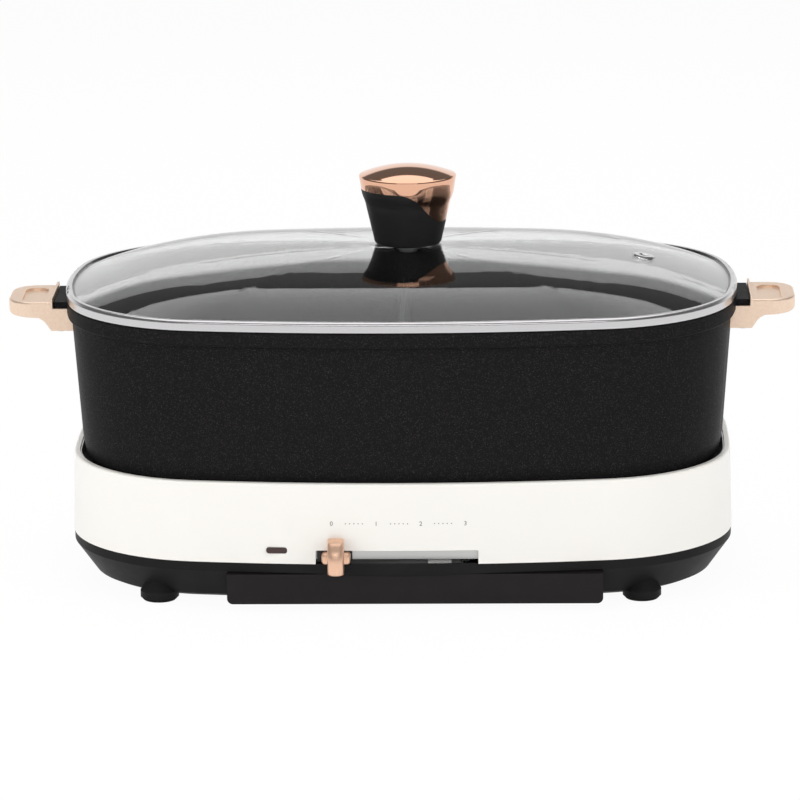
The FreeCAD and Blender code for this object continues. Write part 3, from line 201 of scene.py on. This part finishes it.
pan_metal = metal("pan aluminium", (0.62, 0.62, 0.63), 0.34, (30.0, 900.0, 900.0))
screw_steel = metal("screw steel", (0.52, 0.52, 0.52), 0.32, (700.0, 700.0, 700.0))
sheath = metal("element sheath", (0.14, 0.13, 0.125), 0.48, (500.0, 500.0, 500.0))
fuse_steel = metal("fuse steel", (0.66, 0.66, 0.65), 0.42, (40.0, 900.0, 1500.0))
ceramic = grained("insulator ceramic", (0.72, 0.69, 0.63), 0.6, 900.0, 0.00005)
white_nylon = grained("white nylon", (0.8, 0.79, 0.76), 0.42, 1800.0, 0.00003)
dress(pan_metal, "reflector_pan")
dress(screw_steel, "case_screws", "pan_screws", "cover_screws", "thermostat",
      "thermostat_spindle", "element_brackets")
dress(sheath, "heating_element")
dress(fuse_steel, "thermal_fuse")
dress(ceramic, "terminal_bushings", "terminal_block")
dress(white_nylon, "drive_pinion")

# ---------------------------------------------------------------------------
# Mains inlet: a black moulded socket with three brass pins, held to the back
# of the band by two steel screws.
# ---------------------------------------------------------------------------
brass = metal("pin brass", (0.72, 0.55, 0.27), 0.25, (500.0, 40.0, 500.0))
dress(housing_plastic, "inlet_body")
dress(brass, "inlet_pins")
dress(screw_steel, "inlet_screws")

# ---------------------------------------------------------------------------
# Slide behind the slot: a drawn steel rail screwed to the band, and on it a
# black nylon carriage, a moulded rack and a pale nylon shoe, all moulded. The
# rack is coloured mid grey as a painted sheen along it.
# ---------------------------------------------------------------------------
rail_steel = metal("rail steel", (0.66, 0.66, 0.65), 0.42, (40.0, 900.0, 1500.0))
black_nylon = grained("black nylon", (0.022, 0.022, 0.022), 0.45, 1800.0, 0.00003)
# the rack's mid grey is painted sheen, lighter than a dark nylon bar would be
rack_painted_sheen = grained("rack grey with painted sheen", (0.2, 0.2, 0.2), 0.45, 1800.0, 0.00003)
pale_nylon = grained("natural nylon", (0.95, 0.94, 0.92), 0.3, 1800.0, 0.00003)
dress(rail_steel, "slide_rail")
dress(screw_steel, "rail_screws")
dress(black_nylon, "slider_carriage")
dress(rack_painted_sheen, "slider_rack")
dress(pale_nylon, "slider_shoe")

# ---------------------------------------------------------------------------
# Upper shell: a warm white moulded band with a polished surface. Its lower
# edge is notched for the slider and its top folds in to a narrow ledge.
# ---------------------------------------------------------------------------
shell_plastic = Finish("white shell plastic", (0.86, 0.84, 0.8), 0.28, Coat_Weight=0.25,
                       Coat_Roughness=0.12)
shell_tone = shell_plastic.noise(18.0, 2.0)
shell_plastic.feed("Base Color", shell_plastic.blend(shell_tone, (0.87, 0.85, 0.81), (0.84, 0.82, 0.775)))
shell_plastic.feed("Roughness", 0.26 + shell_plastic.noise(90.0) * 0.06)
shell_plastic.bump(shell_plastic.noise(420.0, 2.0), 0.12, 0.00002)
dress(shell_plastic, "upper_shell")

# ---------------------------------------------------------------------------
# Scale: the numbers 0 to 3 with dots between them, pad-printed in dark ink
# on the band above the slot and cured flat.
# ---------------------------------------------------------------------------
SCALE_HEIGHT = 54.0 * MM
NUMBER_SIZE = 3.7 * MM
DOT_SIZE = 5.2 * MM
INK_DEPTH = 0.03 * MM
DOT_PITCH = 2.52 * MM
NUMBERS = (("0", -40.0 * MM), ("1", -13.4 * MM), ("2", 13.1 * MM), ("3", 39.6 * MM))
DOTS = (-26.6 * MM, 0.2 * MM, 26.3 * MM)
DOTS_IN_ROW = 5
CLEAR_OF_BAND = -1000.0 * MM
ink = Finish("printing ink", (0.05, 0.047, 0.047), 0.5)
ink.feed("Roughness", 0.45 + ink.noise(1500.0) * 0.15)
ink.bump(ink.noise(5000.0), 0.2, 0.00001)
band_face = BVHTree.FromObject(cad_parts["upper_shell"], bpy.context.evaluated_depsgraph_get())


def printed(name, word, middle, copies=1):
    """A word laid on the front of the band, its middle at x = middle."""
    bpy.ops.object.select_all(action="DESELECT")
    bpy.ops.object.text_add(location=(0, 0, 0))
    piece = bpy.context.object
    piece.name = name
    piece.data.body = word
    piece.data.size = NUMBER_SIZE if copies == 1 else DOT_SIZE
    piece.data.extrude = INK_DEPTH
    bpy.ops.object.convert(target="MESH")
    if copies > 1:
        row = piece.modifiers.new("row", "ARRAY")
        row.count = copies
        row.use_relative_offset = False
        row.use_constant_offset = True
        row.constant_offset_displace = (DOT_PITCH, 0, 0)
        bpy.ops.object.modifier_apply(modifier="row")
    across = [vertex.co.x for vertex in piece.data.vertices]
    upward = [vertex.co.y for vertex in piece.data.vertices]
    shift_x = middle - (min(across) + max(across)) / 2
    shift_z = SCALE_HEIGHT - (min(upward) + max(upward)) / 2
    for vertex in piece.data.vertices:
        x, z = vertex.co.x + shift_x, vertex.co.y + shift_z
        face = band_face.ray_cast(Vector((x, CLEAR_OF_BAND, z)), Vector((0, 1, 0)))[0]
        vertex.co = (x, face.y - vertex.co.z, z)
    dress(ink, piece)
    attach(piece, "base")


for number, middle in NUMBERS:
    printed("scale_" + number, number, middle)
for place, middle in enumerate(DOTS, 1):
    printed("scale_dots_%d" % place, ".", middle, DOTS_IN_ROW)

# ---------------------------------------------------------------------------
# Indicator lamp: a small dark red-brown moulded lens, just proud of the band,
# with a white nylon holder behind it.
# ---------------------------------------------------------------------------
lens_plastic = Finish("lamp lens", (0.035, 0.011, 0.009), 0.16, Coat_Weight=0.2)
lens_plastic.bump(lens_plastic.cells(1400.0), 0.25, 0.00005)
dress(lens_plastic, "indicator_lens")
dress(white_nylon, "lamp_holder")

# ---------------------------------------------------------------------------
# Slider lever: a bowed strip with a cross block, cast and plated rose gold,
# fixed to the carriage through the slot.
# ---------------------------------------------------------------------------
def rose_metal(name, colour, roughness, metallic):
    """Fine blasted casting with a rose-gold coat."""
    finish = Finish(name, colour, roughness, Metallic=metallic)
    deepening = (0.84, 0.74, 0.68)
    deeper = tuple(channel * share for channel, share in zip(colour, deepening))
    grain = finish.noise(750.0, 4.0, 0.7)
    patches = finish.noise(60.0, 4.0) * 0.3
    finish.feed("Base Color", finish.blend(patches + grain * 0.9 - 0.3, colour, deeper))
    finish.feed("Roughness", roughness + (grain - 0.5) * 0.2)
    return finish.bump(grain, 0.45, 0.00006)


def catmull(points, parts):
    """A closed smooth line through points, with parts steps from each to the next."""
    line = []
    for index, point in enumerate(points):
        before, after = Vector(points[index - 1]), Vector(points[(index + 1) % len(points)])
        later, point = Vector(points[(index + 2) % len(points)]), Vector(point)
        for step in range(parts):
            t = step / parts
            line.append(0.5 * (2 * point + (after - before) * t
                               + (2 * before - 5 * point + 4 * after - later) * t ** 2
                               + (3 * point - before - 3 * after + later) * t ** 3))
    return line


LEVER_MIDDLE = -37.4 * MM
LEVER_HALF = 4.8 * MM
LEVER_BACK = -130.0 * MM
LEVER_DEPTH = 11.4 * MM
LEVER_FOOT = 24.0 * MM
LEVER_HEIGHT = 22.3 * MM
# its side outline, as shares of the depth and the height
LEVER_SIDE = ((0, 0.963), (0.27, 0.968), (0.56, 0.9), (0.78, 0.765), (0.92, 0.63), (0.99, 0.47),
              (0.985, 0.3), (0.91, 0.13), (0.68, 0.022), (0.27, 0.022), (0.13, 0.18), (0.05, 0.54))
LEVER_SLICES = 14
SIDE_STEPS = 4
# how much of its depth and height the strip keeps at its long edges
EDGE_DEPTH = 0.76
EDGE_HEIGHT = 0.92
BLOCK_SIZE = (17.3 * MM, 8.3 * MM, 7.2 * MM)
BLOCK_PLACE = (LEVER_MIDDLE, -126.85 * MM, 33.1 * MM)
BLOCK_ROUNDING = 2.2 * MM
ROUNDING_STEPS = 5
LEVER_SMOOTH_BELOW = math.radians(40)
outline = [(LEVER_BACK - forward * LEVER_DEPTH, LEVER_FOOT + upward * LEVER_HEIGHT)
           for forward, upward in catmull(LEVER_SIDE, SIDE_STEPS)]
slices = [-math.cos(math.pi * step / LEVER_SLICES) * LEVER_HALF for step in range(LEVER_SLICES + 1)]
bpy.ops.object.select_all(action="DESELECT")
bpy.ops.mesh.primitive_circle_add(vertices=len(outline), radius=LEVER_HALF, fill_type="NGON")
lever = bpy.context.object
lever.name = "bowed_lever"
for vertex, (y, z) in zip(lever.data.vertices, outline):
    vertex.co = (LEVER_MIDDLE + slices[0], y, z)
bpy.ops.object.mode_set(mode="EDIT")
bpy.ops.mesh.select_all(action="SELECT")
for near_side, far_side in zip(slices, slices[1:]):
    bpy.ops.mesh.extrude_region_move(TRANSFORM_OT_translate={"value": (far_side - near_side, 0, 0)})
bpy.ops.mesh.select_all(action="SELECT")
bpy.ops.mesh.normals_make_consistent(inside=False)
bpy.ops.object.mode_set(mode="OBJECT")

# the strip is crowned: full in the middle, thinner towards both long edges
waist = LEVER_FOOT + LEVER_HEIGHT / 2
for vertex in lever.data.vertices:
    crown = math.sqrt(max(0, 1 - ((vertex.co.x - LEVER_MIDDLE) / LEVER_HALF) ** 2))
    vertex.co.y = LEVER_BACK + (vertex.co.y - LEVER_BACK) * (EDGE_DEPTH + (1 - EDGE_DEPTH) * crown)
    vertex.co.z = waist + (vertex.co.z - waist) * (EDGE_HEIGHT + (1 - EDGE_HEIGHT) * crown)

# the cross block that joins the strip to the carriage
bpy.ops.object.select_all(action="DESELECT")
bpy.ops.mesh.primitive_cube_add(size=1.0, location=BLOCK_PLACE, scale=BLOCK_SIZE)
bpy.ops.object.transform_apply()
block = bpy.context.object
rounding = block.modifiers.new("rounding", "BEVEL")
rounding.width = BLOCK_ROUNDING
rounding.segments = ROUNDING_STEPS
bpy.ops.object.modifier_apply(modifier="rounding")
lever.select_set(True)
bpy.context.view_layer.objects.active = lever
bpy.ops.object.join()
bpy.ops.object.shade_smooth_by_angle(angle=LEVER_SMOOTH_BELOW)
lever_metal = rose_metal("lever rose gold", (0.93, 0.62, 0.45), 0.36, 0.8)
dress(lever_metal, lever)
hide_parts("slider_lever")
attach(lever, "slider")

# ---------------------------------------------------------------------------
# Pot: cast aluminium, sprayed in and out with a black non-stick coating in
# which fine mineral flecks catch the light.
# ---------------------------------------------------------------------------
coating = Finish("non-stick coating", (0.0112, 0.0109, 0.0112), 0.42, Specular_IOR_Level=0.02)
fleck_pick = coating.add("ShaderNodeSeparateColor", {}, {0: coating.cells(2500.0, "Color")}, 0) > 0.87
fleck_tone = coating.noise(900.0, 2.0) * 0.6
coating_tone = coating.noise(40.0, 4.0)
coating.feed("Base Color", coating.blend(fleck_pick * fleck_tone, (0.0108, 0.0105, 0.0108),
                                         (0.068, 0.063, 0.064)))
coating.feed("Roughness", 0.4 + coating_tone * 0.1 - fleck_pick * 0.1)
coating.bump(coating.noise(1500.0, 4.0, 0.65), 0.3, 0.00009)
dress(coating, "pot_vessel")

# ---------------------------------------------------------------------------
# Handles: two aluminium castings, blasted and coated in rose gold, each
# bolted under a lug at the pot's end with two steel screws.
# ---------------------------------------------------------------------------
handle_metal = rose_metal("handle rose gold", (1.0, 0.8, 0.64), 0.4, 0.8)
dress(handle_metal, "handle_left", "handle_right")
dress(screw_steel, "handle_screws")

# ---------------------------------------------------------------------------
# Lid: a domed glass, heat-bent and tempered, held in a rolled stainless rim.
# A stainless grommet is pressed into the steam vent on its right.
# ---------------------------------------------------------------------------
rim_steel = metal("rim stainless", (0.62, 0.61, 0.62), 0.24, (60.0, 60.0, 1600.0))
dress(rim_steel, "lid_rim", "vent_grommet")
glass = Finish("lid glass", (0.975, 0.985, 0.98), 0.0, Transmission_Weight=1.0, IOR=1.46)
glass.feed("Base Color", glass.blend(glass.noise(6.0, 2.0), (0.97, 0.985, 0.98), (0.985, 0.99, 0.987)))
dress(glass, "lid_glass")

# ---------------------------------------------------------------------------
# Knob: a matt black moulded grip under a spun cap, plated mirror-bright
# copper, whose edge sweeps down on the right. One screw with a washer and a
# black seal holds it through the glass.
# ---------------------------------------------------------------------------
KNOB_X = 4.2 * MM
KNOB_FOOT = 198.6 * MM
KNOB_HEIGHT = 48.0 * MM
KNOB_RADIUS = 29.6 * MM
CAP_SHEET = 1.3 * MM
DOME_FALL = 0.1267
DOME_STEPS = 20
ROUND_STEPS = 144
# where the cap's lower edge starts to fall, how far across it falls, and its
# highest and lowest level as shares of the knob's height
SWEEP_START = -8.0 * MM
SWEEP_LENGTH = 29.0 * MM
SWEEP_HIGH = 0.71
SWEEP_LOW = 0.308
SWEEP_DELAY = 1.5
SWEEP_STEPS = 96
CUTTER_SIZE = 2.2 * KNOB_RADIUS
CAP_SMOOTH_BELOW = math.radians(38)
# the cap's side, as shares of the knob's radius and height, then its shallow dome
CAP_SIDE = [(0.77, 0.25), (0.8, 0.32), (0.823, 0.38), (0.845, 0.44), (0.868, 0.51), (0.893, 0.562),
            (0.923, 0.605), (0.946, 0.65), (0.964, 0.71), (0.98, 0.78), (1.0, 0.858), (0.998, 0.868),
            (0.99, 0.876), (0.976, 0.8805)]
CAP_SIDE += [(step / DOME_STEPS, 1 - DOME_FALL * (step / DOME_STEPS) ** 2)
             for step in range(DOME_STEPS - 1, 0, -1)]


def turned(name, trim):
    """A solid turned on the knob's axis, smaller than the cap all round by trim."""
    steps = [(out * KNOB_RADIUS - trim, KNOB_FOOT + up * KNOB_HEIGHT - trim) for out, up in CAP_SIDE]
    bpy.ops.object.select_all(action="DESELECT")
    bpy.ops.mesh.primitive_circle_add(vertices=ROUND_STEPS, radius=steps[0][0], fill_type="NGON",
                                      location=(KNOB_X, 0, steps[0][1]))
    solid = bpy.context.object
    solid.name = name
    bpy.ops.object.mode_set(mode="EDIT")
    bpy.ops.mesh.select_all(action="SELECT")
    for (radius, level), (next_radius, next_level) in zip(steps, steps[1:]):
        bpy.ops.mesh.extrude_region_move(TRANSFORM_OT_translate={"value": (0, 0, next_level - level)})
        narrowing = next_radius / radius
        bpy.ops.transform.resize(value=(narrowing, narrowing, 1), center_override=(KNOB_X, 0, next_level))
    bpy.ops.mesh.select_all(action="SELECT")
    bpy.ops.mesh.normals_make_consistent(inside=False)
    bpy.ops.object.mode_set(mode="OBJECT")
    bpy.ops.object.transform_apply()
    return solid


def sweep(across):
    """The height of the cap's lower edge, at a distance to the right of the knob's axis."""
    share = min(1, max(0, (across - SWEEP_START) / SWEEP_LENGTH))
    fall = (1 - math.cos(math.pi * share ** SWEEP_DELAY)) / 2
    return KNOB_FOOT + KNOB_HEIGHT * (SWEEP_HIGH - fall * (SWEEP_HIGH - SWEEP_LOW))


cap = turned("mirror_cap", 0)
# the inside of the sheet, and all that lies below the sweep, are taken away
hollow = turned("hollow", CAP_SHEET)
bpy.ops.object.select_all(action="DESELECT")
bpy.ops.mesh.primitive_grid_add(x_subdivisions=SWEEP_STEPS, y_subdivisions=1, size=CUTTER_SIZE,
                                location=(KNOB_X, 0, 0))
bpy.ops.object.transform_apply()
below = bpy.context.object
bpy.ops.object.mode_set(mode="EDIT")
bpy.ops.mesh.select_all(action="SELECT")
bpy.ops.mesh.extrude_region_move(TRANSFORM_OT_translate={"value": (0, 0, KNOB_FOOT)})
bpy.ops.mesh.select_all(action="SELECT")
bpy.ops.mesh.normals_make_consistent(inside=False)
bpy.ops.object.mode_set(mode="OBJECT")
# this cutter stands on the table plane and its top follows the sweep
for vertex in below.data.vertices:
    if vertex.co.z > KNOB_FOOT / 2:
        vertex.co.z = sweep(vertex.co.x - KNOB_X)
bpy.context.view_layer.objects.active = cap
for cutter in (hollow, below):
    taken = cap.modifiers.new("taken away", "BOOLEAN")
    taken.operation = "DIFFERENCE"
    taken.solver = "EXACT"
    taken.object = cutter
    bpy.ops.object.modifier_apply(modifier="taken away")
    bpy.data.objects.remove(cutter)
bpy.ops.object.select_all(action="DESELECT")
cap.select_set(True)
bpy.ops.object.shade_smooth_by_angle(angle=CAP_SMOOTH_BELOW)
copper = Finish("knob copper", (0.8, 0.46, 0.315), 0.05, Metallic=1.0)
copper.feed("Roughness", 0.03 + copper.noise(80.0, 3.0) * 0.05)
copper.bump(copper.noise(30.0, 2.0), 0.05, 0.00003)
dress(copper, cap)
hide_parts("knob_cap")
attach(cap, "lid")
grip_plastic = grained("grip plastic", (0.0085, 0.0083, 0.0085), 0.5, 1500.0, 0.00009,
                       Specular_IOR_Level=0.3)
dress(grip_plastic, "knob_grip")
dress(screw_steel, "knob_screw", "knob_washer")
dress(black_nylon, "knob_seat")

# ---------------------------------------------------------------------------
# Floor: white paper just under the feet. Lenses and mirrors see it glow, and
# only scattered light shows the shadow that the pot casts on it.
# ---------------------------------------------------------------------------
FLOOR_SIZE = 12.0
FLOOR_DROP = 0.3 * MM
GLOW_SHARE = 0.95
bpy.ops.object.select_all(action="DESELECT")
bpy.ops.mesh.primitive_plane_add(size=FLOOR_SIZE, location=(0, 0, -FLOOR_DROP))
floor = bpy.context.object
floor.name = "floor"
paper = Finish("pale floor", (1.0, 1.0, 1.0), 0.7)
paper_seen = paper.add("ShaderNodeLightPath", {}, {}, "Is Camera Ray")
paper_mirrored = paper.add("ShaderNodeLightPath", {}, {}, "Is Glossy Ray")
paper_through = paper.add("ShaderNodeLightPath", {}, {}, "Is Transmission Ray")
glow = paper.add("ShaderNodeEmission", {}, {"Color": (1, 1, 1, 1), "Strength": 1.0}, "Emission")
share = ((paper_seen + paper_through + paper_mirrored) * GLOW_SHARE).clamp()
lit = paper.add("ShaderNodeMixShader", {}, {0: share, 1: Value(paper, paper.shader.outputs[0]), 2: glow})
paper.tree.links.new(lit.socket, paper.tree.nodes["Material Output"].inputs["Surface"])
dress(paper, floor)

# ---------------------------------------------------------------------------
# Sky: an even studio light. Mirrors see a white cloth low down at the back
# and a dim room elsewhere, glass sees the cloth all round, the camera white.
# ---------------------------------------------------------------------------
AMBIENT = 0.42
HIGH_SKY = 0.16
# the heights and the backward shares between which the cloth fades
CLOTH_TOP = (0.31, 0.39)
CLOTH_SIDE = (0.5, 0.82)
world = bpy.data.worlds.new("studio")
bpy.context.scene.world = world
world.use_nodes = True
sky = Nodes(world.node_tree)
direction = sky.add("ShaderNodeTexCoord", {}, {}, "Generated")
behind = sky.add("ShaderNodeSeparateXYZ", {}, {0: direction}, "Y")
above = sky.add("ShaderNodeSeparateXYZ", {}, {0: direction}, "Z")
low_sky = sky.ease(above, *CLOTH_TOP, 1.0, 0.0)
backdrop = low_sky * sky.ease(behind, *CLOTH_SIDE)
seen = sky.add("ShaderNodeLightPath", {}, {}, "Is Camera Ray")
mirrored = sky.add("ShaderNodeLightPath", {}, {}, "Is Glossy Ray")
through = sky.add("ShaderNodeLightPath", {}, {}, "Is Transmission Ray")
level = AMBIENT + mirrored * (HIGH_SKY - AMBIENT + backdrop * (1 - HIGH_SKY))
level = level + through * (HIGH_SKY + low_sky * (1 - HIGH_SKY) - level)
level = level + seen * (1.0 - level)
backcloth = sky.tree.nodes["Background"]
backcloth.inputs["Color"].default_value = (1, 1, 1, 1)
sky.tree.links.new(level.socket, backcloth.inputs["Strength"])

# ---------------------------------------------------------------------------
# Lamps: one large soft box overhead and smaller ones at the front, sides and
# back. Those at the sides and the back aren't mirrored in the metal.
# ---------------------------------------------------------------------------
def softbox(name, spot, aim, width, height, power):
    """A rectangular soft lamp at spot that faces aim."""
    lamp = bpy.data.lights.new(name, "AREA")
    lamp.shape = "RECTANGLE"
    lamp.size = width
    lamp.size_y = height
    lamp.energy = power
    holder = bpy.data.objects.new(name, lamp)
    bpy.context.scene.collection.objects.link(holder)
    direction = Vector(aim) - Vector(spot)
    holder.matrix_world = Matrix.Translation(spot) @ direction.to_track_quat("-Z", "Y").to_matrix().to_4x4()
    return holder


softbox("overhead box", (0, 0.3, 1.5), (0, 0.2, 0.1), 1.8, 2.0, 14.5)
for side_box in (softbox("left box", (-1.3, -0.9, 0.7), (0, 0, 0.12), 0.7, 1.2, 9.6),
                 softbox("right box", (1.3, -0.9, 0.7), (0, 0, 0.12), 0.7, 1.2, 7.6)):
    side_box.visible_glossy = False
softbox("front box", (0, -1.7, 0.9), (0, 0, 0.1), 1.6, 0.6, 5.0)
softbox("back box", (0, 1.8, 0.9), (0, 0, 0.1), 1.6, 0.6, 3.0).visible_glossy = False

# ---------------------------------------------------------------------------
# Camera: a long lens in front of the pot, looking down a little and turned
# and rolled by a hair.
# ---------------------------------------------------------------------------
CAMERA_DISTANCE = 3061.7 * MM
CAMERA_RISE = 0.2331
CAMERA_TURN = 0.0253
CAMERA_ROLL = 0.0098
AIM = Vector((-1.7 * MM, 0, 99.2 * MM))
PICTURE_PIXELS = 800
FOCAL_PIXELS = 4970.9
SENSOR_WIDTH = 36
FARTHEST_SEEN = 50.0
camera = bpy.data.objects.new("camera", bpy.data.cameras.new("camera"))
bpy.context.scene.collection.objects.link(camera)
camera.data.sensor_width = SENSOR_WIDTH
camera.data.lens = FOCAL_PIXELS / PICTURE_PIXELS * SENSOR_WIDTH
camera.data.clip_end = FARTHEST_SEEN
backward = Vector((math.sin(CAMERA_TURN) * math.cos(CAMERA_RISE),
                   -math.cos(CAMERA_TURN) * math.cos(CAMERA_RISE), math.sin(CAMERA_RISE)))
facing = (-backward).to_track_quat("-Z", "Y").to_matrix().to_4x4()
camera.matrix_world = (Matrix.Translation(AIM + backward * CAMERA_DISTANCE) @ facing
                       @ Matrix.Rotation(-CAMERA_ROLL, 4, "Z"))
bpy.context.scene.camera = camera
bpy.context.scene.view_settings.view_transform = "Standard"
